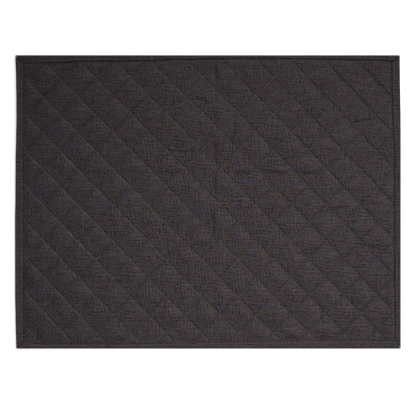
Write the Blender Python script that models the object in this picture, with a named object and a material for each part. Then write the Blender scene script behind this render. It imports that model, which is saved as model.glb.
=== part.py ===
"""A quilted fabric placemat, lying flat on a table: a diamond-quilted panel whose raw edge is
wrapped by four strips of binding, folded round it and mitred at the corners.

Metres, +Z up. The origin is in the middle of the mat on the table top, +X runs along its length
and +Y away from the diner.
"""

import math

import bmesh
import bpy
from mathutils import Vector
from mathutils.geometry import delaunay_2d_cdt, intersect_line_line_2d

# ---- driving dimensions ----------------------------------------------------------------------
LENGTH = 0.460
WIDTH = 0.350
CLEARANCE = 0.0003  # between the panel and the binding, and between two strips at a mitre

# Heights above the table
PUFF_TOP = 0.0036  # crown of a full diamond
STITCH_TOP = 0.0017  # bottom of the valley that a row of stitches pulls in
STITCH_UNDER = 0.0005  # the same row seen from below
RIM_UNDER = 0.0009  # the panel's edge, pressed thin inside the binding
RIM_TOP = 0.0019
RIM_RUN_TOP = 0.008  # how far inside the binding the panel is back at its full height
RIM_RUN_UNDER = 0.005

# Quilting: two families of stitched rows, QUILT_ANGLE down and up from the length
QUILT_PITCH = 0.030
QUILT_ANGLE = math.radians(46.0)
PUFF_STEPS = (0.0, 0.17, 0.5, 0.83)  # where a diamond is divided from one row to the next
UNDER_STEPS = (0.0, 0.15, 0.85)
PUFF_ROUNDNESS = 2.4
UNDER_VALLEY = 0.15  # share of the pitch that a valley takes on each side of a row, underneath
SEARCH_STEPS = 30  # towards a point with given counts of rows

# The rows wander a little off an even grid. By how far, at twelve places on the mat:
SLIP_X = (-0.210, -0.070, 0.070, 0.210)
SLIP_Y = (-0.160, 0.0, 0.160)
QUILT_SLIP = {
    # y: slip of the falling rows and of the rising rows, at each place in SLIP_X
    -0.160: ((-0.0100, -0.0055, -0.0070, -0.0075), (-0.0135, -0.0135, -0.0150, -0.0110)),
    0.0: ((-0.0075, -0.0070, -0.0090, -0.0070), (-0.0110, -0.0110, -0.0135, -0.0130)),
    0.160: ((-0.0060, -0.0080, -0.0090, -0.0025), (-0.0140, -0.0110, -0.0130, -0.0135)),
}

# Puffs are fuller to the front right, where the mat was pressed least: share of the full rise
LOFT_BACK_LEFT = 0.80
LOFT_FRONT_RIGHT = 1.0

# Two soft creases left from folding the mat in four: from, to, depth, half width of the sharp side.
# Each drops quickly to the right of its way and comes back slowly.
CREASES = (
    ((0.0095, 0.162), (0.0085, -0.042), 0.0011, 0.0028),
    ((-0.140, 0.034), (0.140, 0.034), 0.0009, 0.0028),
)
CREASE_RUN = 0.014  # how slowly a crease comes back
CREASE_END = 0.25  # share of a crease's length over which each end fades

# Binding: one strip along each side. Places along the side, then how far in from the nominal
# side its outer fold and its inner edge lie.
BINDING_CLOTH = 0.0006
BINDING_TOP = 0.0028
BINDING_UNDER = 0.0095  # inner edge of the under half
FOLD_WALL = 0.0009  # cloth and its turned-in edge, at the outer fold
FOLD_HALF_HEIGHT = 0.0014  # the fold's outermost line
FOLD_ROUND = 0.0016  # how far in the fold is flat again
BEND_IN = 0.0004  # a corner of the round, this far in from the fold
BEND_UP = 0.0005  # and this far from the flat above or below it
CROWN_RISE = 0.0001  # the top half's crown stands this much proud
EDGE_DROP = 0.0003  # and its inner edge lies this much low
STATION_GAP = 0.022  # between one section of a strip and the next
# A strip's mitred end, as faces between the points of its section
STRIP_END_FACES = (
    (0, 1, 11, 12),
    (1, 2, 3, 11),
    (3, 4, 5, 10),
    (3, 10, 11),
    (5, 6, 9, 10),
    (6, 7, 8, 9),
)
SIDE_TABLES = {
    "front": (
        (-0.230, 0.0, 0.0080),
        (-0.200, 0.0, 0.0056),
        (-0.110, 0.0, 0.0056),
        (-0.030, 0.0, 0.0066),
        (0.050, 0.0, 0.0078),
        (0.130, 0.0, 0.0092),
        (0.230, 0.0, 0.0098),
    ),
    "right": (
        (-0.175, 0.0, 0.0062),
        (-0.120, 0.0, 0.0064),
        (-0.100, 0.0, 0.0072),
        (0.060, 0.0, 0.0072),
        (0.080, 0.0, 0.0084),
        (0.100, 0.0001, 0.0092),
        (0.122, 0.0004, 0.0100),
        (0.145, 0.0009, 0.0106),
        (0.175, 0.0011, 0.0106),
    ),
    "back": (
        (-0.230, 0.0, 0.0092),
        (-0.178, 0.0, 0.0088),
        (-0.150, 0.0, 0.0070),
        (-0.075, 0.0, 0.0064),
        (-0.035, 0.0, 0.0046),
        (0.025, 0.0, 0.0036),
        (0.100, 0.0, 0.0038),
        (0.140, 0.0, 0.0044),
        (0.205, 0.0, 0.0056),
        (0.230, 0.0, 0.0086),
    ),
    "left": (
        (-0.175, 0.0014, 0.0098),
        (-0.140, 0.0006, 0.0094),
        (-0.110, 0.0001, 0.0090),
        (-0.020, 0.0, 0.0090),
        (0.005, 0.0004, 0.0092),
        (0.050, 0.0006, 0.0090),
        (0.075, 0.0012, 0.0092),
        (0.098, 0.0016, 0.0096),
        (0.122, 0.0015, 0.0096),
        (0.145, 0.0012, 0.0096),
        (0.175, 0.0004, 0.0092),
    ),
}
SNAP = 0.00002  # corners of the cut pattern closer than this are one corner

CLOTH_COLOUR = (0.043, 0.036, 0.039, 1.0)
CLOTH_ROUGHNESS = 0.95


# ---- the binding's two edges -----------------------------------------------------------------
def inset(side, place, column):
    """Column 1 is the outer fold and column 2 the inner edge, eased from row to row."""
    rows = SIDE_TABLES[side]
    for low, high in zip(rows, rows[1:]):
        if place <= high[0]:
            share = min(max((place - low[0]) / (high[0] - low[0]), 0.0), 1.0)
            share = share * share * (3.0 - 2.0 * share)
            return low[column] + (high[column] - low[column]) * share
    return rows[-1][column]


def on_side(side, place, distance):
    """A point at this place along a side, this far in from the nominal side."""
    if side == "front":
        return Vector((place, distance - WIDTH / 2))
    if side == "back":
        return Vector((place, WIDTH / 2 - distance))
    if side == "left":
        return Vector((distance - LENGTH / 2, place))
    return Vector((LENGTH / 2 - distance, place))


def past_side(side, x, y, column):
    """How far inside the fold (column 1) or the inner edge (column 2) of a side a point lies."""
    if side in ("front", "back"):
        distance = WIDTH / 2 + (y if side == "front" else -y)
        return distance - inset(side, x, column)
    distance = LENGTH / 2 + (x if side == "left" else -x)
    return distance - inset(side, y, column)


def inside_all(x, y, column):
    return min(past_side(side, x, y, column) for side in SIDE_TABLES)


# ---- the quilting ----------------------------------------------------------------------------
def through(places, values, at):
    """The smooth curve through the values at these places, read at another place."""
    total = 0.0
    for place, value in zip(places, values):
        weight = value
        for other in places:
            if other != place:
                weight *= (at - other) / (place - other)
        total += weight
    return total


def slip(family, x, y):
    rows = [through(SLIP_X, QUILT_SLIP[row][family], x) for row in SLIP_Y]
    return through(SLIP_Y, rows, y)


def quilt_place(x, y):
    """Counts of falling and rising rows at a point: whole numbers lie on the rows."""
    falling = math.sin(QUILT_ANGLE) * x + math.cos(QUILT_ANGLE) * y + slip(0, x, y)
    rising = math.sin(QUILT_ANGLE) * x - math.cos(QUILT_ANGLE) * y + slip(1, x, y)
    return falling / QUILT_PITCH, rising / QUILT_PITCH


def quilt_point(falling, rising):
    """The point with these counts, found by stepping towards it."""
    x = y = 0.0
    for _ in range(SEARCH_STEPS):
        here = quilt_place(x, y)
        miss_falling = (falling - here[0]) * QUILT_PITCH
        miss_rising = (rising - here[1]) * QUILT_PITCH
        x += (miss_falling + miss_rising) / (2 * math.sin(QUILT_ANGLE))
        y += (miss_falling - miss_rising) / (2 * math.cos(QUILT_ANGLE))
    return Vector((x, y))


def eased(share):
    share = min(max(share, 0.0), 1.0)
    return share * share * (3.0 - 2.0 * share)


def from_row(count):
    """0 on a stitched row, 1 half way to the next."""
    return 2.0 * abs(count - round(count))


def crease_depth(x, y):
    depth = 0.0
    for start, end, deepest, half_width in CREASES:
        line = Vector(end) - Vector(start)
        offset = Vector((x, y)) - Vector(start)
        along = offset.dot(line) / line.length_squared
        aside = line.cross(offset) / line.length
        fade = eased(min(along, 1.0 - along) / CREASE_END)
        lowered = 0.5 - 0.5 * math.tanh(aside / half_width)
        depth = max(depth, deepest * fade * lowered * math.exp(-abs(aside) / CREASE_RUN))
    return depth


def top_height(x, y):
    falling, rising = (from_row(count) for count in quilt_place(x, y))
    dome = (1.0 - (1.0 - falling) ** PUFF_ROUNDNESS) * (1.0 - (1.0 - rising) ** PUFF_ROUNDNESS)
    across = eased(0.5 + x / LENGTH * 0.5 - y / WIDTH * 0.5)
    loft = LOFT_BACK_LEFT + (LOFT_FRONT_RIGHT - LOFT_BACK_LEFT) * across
    quilted = STITCH_TOP + dome * ((PUFF_TOP - STITCH_TOP) * loft - crease_depth(x, y))
    run = eased(inside_all(x, y, 2) / RIM_RUN_TOP)
    return RIM_TOP + (quilted - RIM_TOP) * run


def under_height(x, y):
    counts = quilt_place(x, y)
    nearest = min(from_row(count) for count in counts) / 2.0
    valley = STITCH_UNDER * max(1.0 - nearest / UNDER_VALLEY, 0.0)
    past_binding = inside_all(x, y, 1) - BINDING_UNDER - CLEARANCE
    run = min(max(past_binding / RIM_RUN_UNDER, 0.0), 1.0)
    return RIM_UNDER + (valley - RIM_UNDER) * run


def side_places(side):
    """The places along a side where its outline has a corner or bends."""
    half = (LENGTH if side in ("front", "back") else WIDTH) / 2
    count = round(2 * half / STATION_GAP)
    return [half * (2.0 * i / count - 1.0) for i in range(1, count)]


def ring_at(distance_past, column):
    """A closed line round the mat, this far inside the fold or the inner edge."""
    corners = {}
    for long_side in ("front", "back"):
        for short_side in ("left", "right"):
            x = (-1 if short_side == "left" else 1) * LENGTH / 2
            y = (-1 if long_side == "front" else 1) * WIDTH / 2
            far_x = inset(short_side, y, column) + distance_past
            far_y = inset(long_side, x, column) + distance_past
            corner = Vector((x - math.copysign(far_x, x), y - math.copysign(far_y, y)))
            corners[long_side, short_side] = corner
    points = []
    for side, begin in (
        ("front", ("front", "left")),
        ("right", ("front", "right")),
        ("back", ("back", "right")),
        ("left", ("back", "left")),
    ):
        points.append(corners[begin])
        places = side_places(side)
        if side in ("back", "left"):
            places = places[::-1]
        points += [on_side(side, place, inset(side, place, column) + distance_past) for place in places]
    return points


def row_lines(steps, ring):
    """The quilting pattern inside a ring, as short lines that each join a corner to the next."""
    reach = int(0.5 * math.hypot(LENGTH, WIDTH) / QUILT_PITCH) + 2
    counts = [whole + step for whole in range(-reach, reach) for step in steps]
    corners = {}
    for i, falling in enumerate(counts):
        for j, rising in enumerate(counts):
            even_x = (falling + rising) * QUILT_PITCH / (2 * math.sin(QUILT_ANGLE))
            even_y = (falling - rising) * QUILT_PITCH / (2 * math.cos(QUILT_ANGLE))
            if abs(even_x) < LENGTH / 2 + 2 * QUILT_PITCH and abs(even_y) < WIDTH / 2 + 2 * QUILT_PITCH:
                corners[i, j] = quilt_point(falling, rising)
    inside = {key: inside_polygon(corner, ring) for key, corner in corners.items()}
    lines = []
    for key, corner in corners.items():
        for neighbour in ((key[0] + 1, key[1]), (key[0], key[1] + 1)):
            if neighbour not in corners or not (inside[key] or inside[neighbour]):
                continue
            inner, outer = (key, neighbour) if inside[key] else (neighbour, key)
            end = corners[outer] if inside[outer] else first_crossing(corners[inner], corners[outer], ring)
            lines.append((corners[inner], end))
    return lines


def inside_polygon(point, polygon):
    inside = False
    for a, b in zip(polygon, polygon[1:] + polygon[:1]):
        if (a.y > point.y) != (b.y > point.y):
            if point.x < a.x + (point.y - a.y) * (b.x - a.x) / (b.y - a.y):
                inside = not inside
    return inside


def first_crossing(start, end, ring):
    """Where the line from a point inside a ring first meets the ring."""
    crossings = [intersect_line_line_2d(start, end, a, b) for a, b in zip(ring, ring[1:] + ring[:1])]
    return min((point for point in crossings if point), key=lambda point: (point - start).length)


def crease_lines():
    lines = []
    for start, end, _, half_width in CREASES:
        along = (Vector(end) - Vector(start)).normalized()
        across = Vector((-along.y, along.x))
        for shift in (-half_width, 0.0, half_width):
            lines.append((Vector(start) + shift * across, Vector(end) + shift * across))
    return lines


def add_skin(mesh, rings, lines, height, faces_up):
    """One face of the panel, its edges along every ring and line. Gives back its outermost corners."""
    corners = []
    edges = []
    for ring in rings:
        first = len(corners)
        corners += ring
        edges += [(first + i, first + (i + 1) % len(ring)) for i in range(len(ring))]
    for line in lines:
        edges.append((len(corners), len(corners) + 1))
        corners += line
    points, _, faces, sources, *_ = delaunay_2d_cdt(corners, edges, [], 0, SNAP)
    verts = [mesh.verts.new((point.x, point.y, height(point.x, point.y))) for point in points]
    for face in faces:
        if not inside_polygon(sum((points[i] for i in face), Vector((0.0, 0.0))) / len(face), rings[0]):
            continue
        a, b, c = (points[i] for i in face)
        turns_left = (b - a).cross(c - a) > 0
        mesh.faces.new([verts[i] for i in (face if turns_left == faces_up else face[::-1])])
    placed = {source: i for i, found in enumerate(sources) for source in found}
    return [verts[placed[i]] for i in range(len(rings[0]))]


def build_panel():
    outline = ring_at(FOLD_WALL + CLEARANCE, 1)
    seam = ring_at(CLEARANCE, 2)
    under_seam = ring_at(BINDING_UNDER + CLEARANCE, 1)
    top_rings = [outline, seam, ring_at(RIM_RUN_TOP / 2, 2)]
    under_rings = [outline, under_seam, ring_at(BINDING_UNDER + CLEARANCE + RIM_RUN_UNDER, 1)]
    mesh = bmesh.new()
    top_lines = row_lines(PUFF_STEPS, seam) + crease_lines()
    upper = add_skin(mesh, top_rings, top_lines, top_height, True)
    lower = add_skin(mesh, under_rings, row_lines(UNDER_STEPS, under_seam), under_height, False)
    for i in range(len(outline)):
        j = (i + 1) % len(outline)
        mesh.faces.new((upper[i], lower[i], lower[j], upper[j]))
    bmesh.ops.delete(mesh, geom=[vert for vert in mesh.verts if not vert.link_faces], context="VERTS")
    return finish_solid(mesh, "quilted_panel")


# ---- the binding strips ----------------------------------------------------------------------
def strip_section(fold, edge):
    """The folded strip cut across, as (distance in from the nominal side, height): its outer face
    from the under edge round the fold to the top edge, then its inner face back again.
    """
    ceiling = RIM_TOP + CLEARANCE
    crown = (fold + FOLD_ROUND + edge) / 2
    outer = [
        (fold + BINDING_UNDER, 0.0),
        (fold + FOLD_ROUND, 0.0),
        (fold + BEND_IN, BEND_UP),
        (fold, FOLD_HALF_HEIGHT),
        (fold + BEND_IN, BINDING_TOP - BEND_UP),
        (fold + FOLD_ROUND, BINDING_TOP),
        (crown, BINDING_TOP + CROWN_RISE),
        (edge, BINDING_TOP - EDGE_DROP),
    ]
    inner = [
        (edge, ceiling),
        (crown, ceiling),
        (fold + FOLD_WALL, ceiling),
        (fold + FOLD_WALL, BINDING_CLOTH),
        (fold + BINDING_UNDER, BINDING_CLOTH),
    ]
    return outer + inner


def mitre(side, end):
    """Where a strip's mitre starts along the side, and how far it runs for each metre in."""
    if side in ("front", "back"):
        neighbour = "left" if end < 0 else "right"
        place = end * LENGTH / 2
        other_place = (-1 if side == "front" else 1) * WIDTH / 2
    else:
        neighbour = "front" if end < 0 else "back"
        place = end * WIDTH / 2
        other_place = (-1 if side == "left" else 1) * LENGTH / 2
    fold = inset(side, place, 1)
    edge = inset(side, place, 2)
    other_fold = inset(neighbour, other_place, 1)
    other_edge = inset(neighbour, other_place, 2)
    return place, fold, other_fold, (other_edge - other_fold) / (edge - fold)


def plain_ring(side, place):
    """The strip's section, cut straight across it."""
    section = strip_section(inset(side, place, 1), inset(side, place, 2))
    return [(*on_side(side, place, far), height) for far, height in section]


def mitred_ring(side, end):
    """The strip's section at one end, cut along the mitre."""
    corner, fold, start, lean = mitre(side, end)
    gap = CLEARANCE / 2 * math.sqrt(1.0 + lean * lean)
    ring = []
    for far, height in strip_section(fold, inset(side, corner, 2)):
        place = corner - end * (start + (far - fold) * lean + gap)
        ring.append((*on_side(side, place, far), height))
    return ring


def build_strip(side):
    mesh = bmesh.new()
    sections = [mitred_ring(side, -1)]
    sections += [plain_ring(side, place) for place in side_places(side)]
    sections.append(mitred_ring(side, 1))
    rings = [[mesh.verts.new(point) for point in section] for section in sections]
    for near, far in zip(rings, rings[1:]):
        for i in range(len(near)):
            j = (i + 1) % len(near)
            mesh.faces.new((near[i], near[j], far[j], far[i]))
    for ring in (rings[0], rings[-1]):
        for corners in STRIP_END_FACES:
            mesh.faces.new([ring[i] for i in corners])
    return finish_solid(mesh, f"binding_{side}")


# ---- objects ---------------------------------------------------------------------------------
def finish_solid(mesh, name):
    bmesh.ops.recalc_face_normals(mesh, faces=mesh.faces[:])
    data = bpy.data.meshes.new(name)
    mesh.to_mesh(data)
    mesh.free()
    data.shade_smooth()
    data.set_sharp_from_angle(angle=math.radians(50))
    obj = bpy.data.objects.new(name, data)
    obj.data.materials.append(cloth_material(name + "_cloth"))
    bpy.data.collections["quilted_placemat"].objects.link(obj)
    return obj


def cloth_material(name):
    material = bpy.data.materials.new(name)
    material.use_nodes = True
    shader = material.node_tree.nodes["Principled BSDF"]
    shader.inputs["Base Color"].default_value = CLOTH_COLOUR
    shader.inputs["Roughness"].default_value = CLOTH_ROUGHNESS
    shader.inputs["Metallic"].default_value = 0.0
    return material


def main():
    for obj in list(bpy.data.objects):
        bpy.data.objects.remove(obj, do_unlink=True)
    collection = bpy.data.collections.new("quilted_placemat")
    bpy.context.scene.collection.children.link(collection)
    build_panel()
    for side in SIDE_TABLES:
        build_strip(side)


main()
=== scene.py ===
"""A dark quilted placemat seen face on: its cloth, quilting thread and folded binding, laid on a
pale surface under soft light. Metres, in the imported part's own frame."""

import math

import bmesh
import bpy
import numpy as np
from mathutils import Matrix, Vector


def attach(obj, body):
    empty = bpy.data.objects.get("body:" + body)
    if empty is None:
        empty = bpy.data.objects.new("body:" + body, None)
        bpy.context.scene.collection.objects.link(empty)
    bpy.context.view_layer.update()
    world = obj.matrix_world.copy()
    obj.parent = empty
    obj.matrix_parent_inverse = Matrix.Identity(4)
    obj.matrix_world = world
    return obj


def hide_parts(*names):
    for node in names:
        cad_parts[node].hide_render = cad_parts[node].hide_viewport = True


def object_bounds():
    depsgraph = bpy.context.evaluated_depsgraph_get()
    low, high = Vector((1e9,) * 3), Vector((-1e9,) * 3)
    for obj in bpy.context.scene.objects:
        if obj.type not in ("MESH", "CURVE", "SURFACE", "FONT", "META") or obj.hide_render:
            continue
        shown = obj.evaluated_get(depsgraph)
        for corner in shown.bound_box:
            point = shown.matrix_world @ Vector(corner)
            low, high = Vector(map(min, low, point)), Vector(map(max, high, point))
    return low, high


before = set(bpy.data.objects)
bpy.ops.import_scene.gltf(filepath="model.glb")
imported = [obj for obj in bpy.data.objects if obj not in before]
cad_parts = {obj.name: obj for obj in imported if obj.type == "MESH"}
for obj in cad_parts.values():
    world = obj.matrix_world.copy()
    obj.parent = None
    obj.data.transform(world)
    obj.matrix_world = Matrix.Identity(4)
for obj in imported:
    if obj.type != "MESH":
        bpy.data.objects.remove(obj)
CAD_LOW, CAD_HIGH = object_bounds()

LENGTH = CAD_HIGH.x - CAD_LOW.x
WIDTH = CAD_HIGH.y - CAD_LOW.y
HALF = (LENGTH / 2, WIDTH / 2)
SIDES = {"front": (1, -1), "right": (0, 1), "back": (1, 1), "left": (0, -1)}  # axis, and which way

# Where a setting has several values, they hold at even steps from the mat's left end to its right
# end. Where it has three lines of them, the lines hold at the mat's back, midway and in front.

# ---- quilting: the same rows as the solid -----------------------------------------------------
QUILT_PITCH = 0.030
QUILT_ANGLE = math.radians(46.0)
SLIP_X = (-0.210, -0.070, 0.070, 0.210)
SLIP_Y = (-0.160, 0.0, 0.160)
QUILT_SLIP = (
    # falling rows' slip and rising rows' slip at each SLIP_X, one line for each SLIP_Y
    ((-0.0100, -0.0055, -0.0070, -0.0075), (-0.0135, -0.0135, -0.0150, -0.0110)),
    ((-0.0075, -0.0070, -0.0090, -0.0070), (-0.0110, -0.0110, -0.0135, -0.0130)),
    ((-0.0060, -0.0080, -0.0090, -0.0025), (-0.0140, -0.0110, -0.0130, -0.0135)),
)
ROWS_REACH_X = 0.30  # how far from the mat's middle the rows are followed
ROWS_REACH_Y = 0.25
ROWS = int(0.5 * math.hypot(LENGTH, WIDTH) / QUILT_PITCH) + 2  # to either side of the middle one
PUFF_TOP = 0.0033
STITCH_TOP = 0.0017
PUFF_HEIGHT = (
    # from row to crest
    (0.00140, 0.00125, 0.00105, 0.00080, 0.00060),
    (0.00130, 0.00130, 0.00140, 0.00150, 0.00100),
    (0.00120, 0.00145, 0.00200, 0.00270, 0.00180),
)
PUFF_VARIES = 0.18  # how much one diamond's height differs from the next one's
PUFF_TILT = 0.30  # and how much each is tilted, either way
STITCH_UNDER = 0.0005
# The puffs lean on one another: each is highest at its crest, a share of the way from one falling
# row to the next
CREST = (0.58, 0.60, 0.56)
RISE_POWER = (1.10, 1.10, 2.20)
DROP_POWER = (4.5, 2.4, 2.0)
DROP_SOFTNESS = (0.15, 0.50, 0.60)
RISING_RUN = (
    # how soon the puffs level off beside the rising rows: the more, the rounder they are
    (0.09, 0.10, 0.14),
    (0.10, 0.25, 0.40),
    (0.12, 0.46, 0.52),
)
WRINKLES = (
    # height, length along X and along Y, seed
    ((0.00016, 0.00030), 0.017, 0.0042, 11),
    ((0.00008, 0.00008), 0.0050, 0.013, 12),
    ((0.00024, 0.00024), 0.017, 0.013, 13),
)
FALLING_DENT = (0.00026, 0.00006)  # the narrow dent that the thread itself pulls, under the valley
RISING_DENT = (0.00012, 0.00005)
DENT_WIDTH = 0.0009
ROW_DRIFT = 0.0003
ROW_DRIFT_RUN = 0.028
ROW_SHIFT = ((0.0006, -0.0004), (-0.0003, -0.0003))  # of the falling and of the rising rows
PUCKER_HEIGHT = 0.00012
PUCKER_REACH = 0.0020
PUCKER_PITCH = 0.0032
UNDER_VALLEY = 0.15  # how far a row's valley reaches beneath, as a share of the pitch
ROW_SHADE = (
    # How much painted shade darkens the cloth where a falling or a rising row pulls it in: how far
    # beyond the row the shade lies, how far apart from there its two halves are, how wide it is, how much
    (
        (0.0012, 0.0012),
        (0.0, 0.0),
        (0.0008, 0.0009, 0.0010),
        ((0.16, 0.26, 0.50), (0.16, 0.24, 0.34), (0.12, 0.15, 0.24)),
    ),
    (
        (0.0, -0.0006, -0.0006),
        (0.0011, 0.0003, 0.0),
        (0.0008, 0.0012, 0.0012),
        ((0.44, 0.32, 0.18, 0.14, 0.10), (0.40, 0.28, 0.20, 0.30, 0.34), (0.30, 0.24, 0.26, 0.34, 0.36)),
    ),
)
SEAM_SHADE = (0.30, 0.30, 0.30, 0.30, 0.55)  # painted shade in the groove beside the binding
SEAM_SHADE_WIDTH = (0.0014, 0.0014, 0.0014, 0.0014, 0.0008)
PULLED_SHADE = 0.24  # painted shadow where the cloth is pulled in along the left strip, unevenly
PULLED_X = (-0.204, -0.214)  # where that shade starts, and where it is full
PULLED_Y = (0.02, -0.06)
PULLED_PATCH = (0.010, 0.012)
# Broad parts of the mat: the middle of each, and its reach along X and Y
FRONT_LEFT = ((-0.20, -0.15), (0.09, 0.09))
RIGHT_END = ((0.21, 0.01), (0.09, 0.11))
MIDDLE = ((0.03, 0.0), (0.13, 0.13))
FRONT_MIDDLE = ((0.0, -0.06), (0.11, 0.13))
FRONT_RIGHT = ((0.15, -0.06), (0.10, 0.10))
# Painted shade over the cloth's front left, and painted light over its right end
FRONT_LEFT_PAINTED_SHADE = 0.15
RIGHT_END_PAINTED_LIGHT = 0.08
WARMTH = 0.014  # of the cloth's colour at the middle of the mat
COOLER_ENDS = ((0.050, -0.03, -0.25), (0.014, 0.11, 0.22))  # by how much, from where, in full where
CHECK_PLAIN = 0.65
BARS_PLAINER = 0.60  # its bars in the middle and in front of it
BARS_FAINTER = 0.25  # and at the front right
STREAKS_PLAINER = 0.45  # its streaks in the middle and at the front right
# Where a diamond's surface is divided, from a row (0) to the middle of the diamond (0.5)
FINE_STEPS = (0.0, 0.01, 0.025, 0.05, 0.085, 0.13, 0.19, 0.26, 0.34, 0.42)
UNDER_STEPS = (0.0, 0.07, 0.15)
NOISE_ORIGIN = 1000.0  # the waves are counted from so many before the mat's middle

# ---- binding: a strip along each side, from its outer fold to its inner edge -------------------
RIM_UNDER = 0.0009
RIM_TOP = 0.0019
RIM_RUN_TOP = 0.008
RIM_RUN_UNDER = 0.005
CLEARANCE = 0.0003
BINDING_CLOTH = 0.0006
BINDING_TOP = 0.0029
BINDING_UNDER = 0.0095
FOLD_WALL = 0.0009
FOLD_HALF_HEIGHT = 0.0014
FOLD_ROUND = 0.0014  # how far in from the outer fold the strip is round
# Places along the side, then how far in from the mat's nominal side the fold and the edge lie
SIDE_TABLES = {
    "front": (
        (-0.230, 0.0, 0.0080), (-0.200, 0.0, 0.0056), (-0.110, 0.0, 0.0056), (-0.030, 0.0, 0.0066),
        (0.050, 0.0, 0.0078), (0.130, 0.0, 0.0092), (0.230, 0.0, 0.0098),
    ),
    "right": (
        (-0.175, 0.0, 0.0062), (-0.120, 0.0, 0.0064), (-0.100, 0.0, 0.0072), (0.060, 0.0, 0.0072),
        (0.080, 0.0, 0.0084), (0.100, 0.0001, 0.0092), (0.122, 0.0004, 0.0100), (0.145, 0.0009, 0.0106),
        (0.175, 0.0011, 0.0106),
    ),
    "back": (
        (-0.230, 0.0, 0.0092), (-0.178, 0.0, 0.0088), (-0.150, 0.0, 0.0070), (-0.075, 0.0, 0.0064),
        (-0.035, 0.0, 0.0046), (0.025, 0.0, 0.0036), (0.100, 0.0, 0.0038), (0.140, 0.0, 0.0044),
        (0.205, 0.0, 0.0056), (0.230, 0.0, 0.0086),
    ),
    "left": (
        (-0.175, 0.0014, 0.0098), (-0.140, 0.0006, 0.0094), (-0.110, 0.0001, 0.0090), (-0.020, 0.0, 0.0090),
        (0.005, 0.0004, 0.0092), (0.050, 0.0006, 0.0090), (0.075, 0.0012, 0.0092), (0.098, 0.0016, 0.0096),
        (0.122, 0.0015, 0.0096), (0.145, 0.0012, 0.0096), (0.175, 0.0004, 0.0092),
    ),
}

# ---- creases, placed one by one: from, to, depth, half width of the sharp side -----------------
# Each drops quickly to the right of its way and comes back slowly
CREASES = (
    ((0.0100, 0.166), (0.0115, 0.138), 0.0019, 0.0020),  # the fold across the middle, in stretches
    ((0.0240, 0.136), (0.0250, 0.114), 0.0011, 0.0016),
    ((0.0095, 0.110), (0.0110, 0.090), 0.0012, 0.0018),
    ((-0.0010, 0.156), (0.0005, 0.140), 0.0010, 0.0015),
    ((0.0000, 0.070), (0.0000, 0.050), 0.0008, 0.0014),
    ((0.0075, 0.078), (0.0105, 0.042), 0.0017, 0.0024),
    ((0.0085, 0.038), (0.0090, 0.003), 0.0020, 0.0024),
    ((0.0065, -0.008), (0.0075, -0.044), 0.0016, 0.0022),
    ((0.0580, 0.0385), (0.0970, 0.0335), 0.0013, 0.0022),  # the fold along the middle
    ((0.0990, 0.0345), (0.1430, 0.0345), 0.0017, 0.0026),
    ((0.0250, 0.0355), (0.0560, 0.0350), 0.0009, 0.0020),
    ((-0.0690, 0.0355), (-0.0380, 0.0355), 0.0006, 0.0020),
    ((-0.1510, 0.0360), (-0.1160, 0.0350), 0.0008, 0.0018),
    ((-0.0450, 0.0600), (-0.0110, 0.0620), 0.0010, 0.0016),
    ((-0.0660, 0.1230), (-0.0400, 0.1240), 0.0008, 0.0016),
    ((-0.0180, 0.1235), (0.0010, 0.1225), 0.0010, 0.0016),
    ((0.1650, 0.0950), (0.2010, 0.0985), 0.0012, 0.0016),
    ((0.1870, -0.0545), (0.2180, -0.0510), 0.0012, 0.0015),
    ((0.1410, -0.0075), (0.1710, -0.0055), 0.0010, 0.0018),
    ((-0.1520, 0.1430), (-0.1360, 0.1430), 0.0008, 0.0020),
    ((-0.2020, -0.1520), (-0.2030, -0.1690), 0.0014, 0.0016),
    ((-0.1840, -0.1120), (-0.1850, -0.1330), 0.0012, 0.0016),
    ((-0.2185, -0.0760), (-0.2190, -0.1040), 0.0012, 0.0018),
    ((-0.2185, -0.1450), (-0.2160, -0.1660), 0.0014, 0.0016),
)
CREASE_RUN = 0.009  # how slowly a crease comes back
CREASE_END = 0.30  # share of a crease's length over which each end fades
CREASE_SHADE = 0.16  # how much painted shade darkens the cloth along it
CREASE_DEPTH = 1.35  # how much deeper every crease is on the fullest part of a puff
CREASE_CUTS = (-1.8, -1.1, -0.5, 0.0, 0.5, 1.1, 1.8)  # where it is cut, in half widths from it
CUT_MARGIN = 0.004  # how far beyond a crease the cloth is cut
CUT_REACH = 0.006  # how near a cut beside the binding a face's middle has to be


def eased(share):
    """Smoothly from 0 to 1 as the share goes from 0 to 1."""
    share = np.clip(share, 0.0, 1.0)
    return share * share * (3.0 - 2.0 * share)


def ramp(value, start, full):
    """0 up to the start, 1 from full onwards, eased between them."""
    return eased((value - start) / (full - start))


def spot(x, y, part):
    """1 in the middle of this part of the mat, fading away beyond its reach."""
    middle, reach = part
    return np.exp(-(((x - middle[0]) / reach[0]) ** 2) - ((y - middle[1]) / reach[1]) ** 2)


def inset(side, place, column):
    """Column 1 is the outer fold and column 2 the inner edge, eased from row to row."""
    rows = np.array(SIDE_TABLES[side])
    low = np.clip(np.searchsorted(rows[:, 0], place) - 1, 0, len(rows) - 2)
    share = eased((place - rows[low, 0]) / (rows[low + 1, 0] - rows[low, 0]))
    return rows[low, column] + (rows[low + 1, column] - rows[low, column]) * share


def inside(x, y, column):
    """How far inside the binding's outer fold (1) or inner edge (2) each point lies."""
    spaces = []
    for side, (axis, sign) in SIDES.items():
        across, along = (x, y) if axis == 0 else (y, x)
        spaces.append(HALF[axis] - sign * across - inset(side, along, column))
    return np.minimum.reduce(spaces)


def through(places, values, at):
    """The smooth curve through the values at these places, read at other places."""
    total = 0.0
    for place, value in zip(places, values):
        weight = value
        for other in places:
            if other != place:
                weight = weight * (at - other) / (place - other)
        total = total + weight
    return total


def slip(family, x, y):
    """How far the falling (0) or rising (1) rows have strayed from even ones."""
    drift = ROW_DRIFT * noise(x, y, ROW_DRIFT_RUN, ROW_DRIFT_RUN, 31 + family)
    drift = drift + across_mat(x, ROW_SHIFT[family])
    return drift + through(SLIP_Y, [through(SLIP_X, row[family], x) for row in QUILT_SLIP], y)


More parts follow.
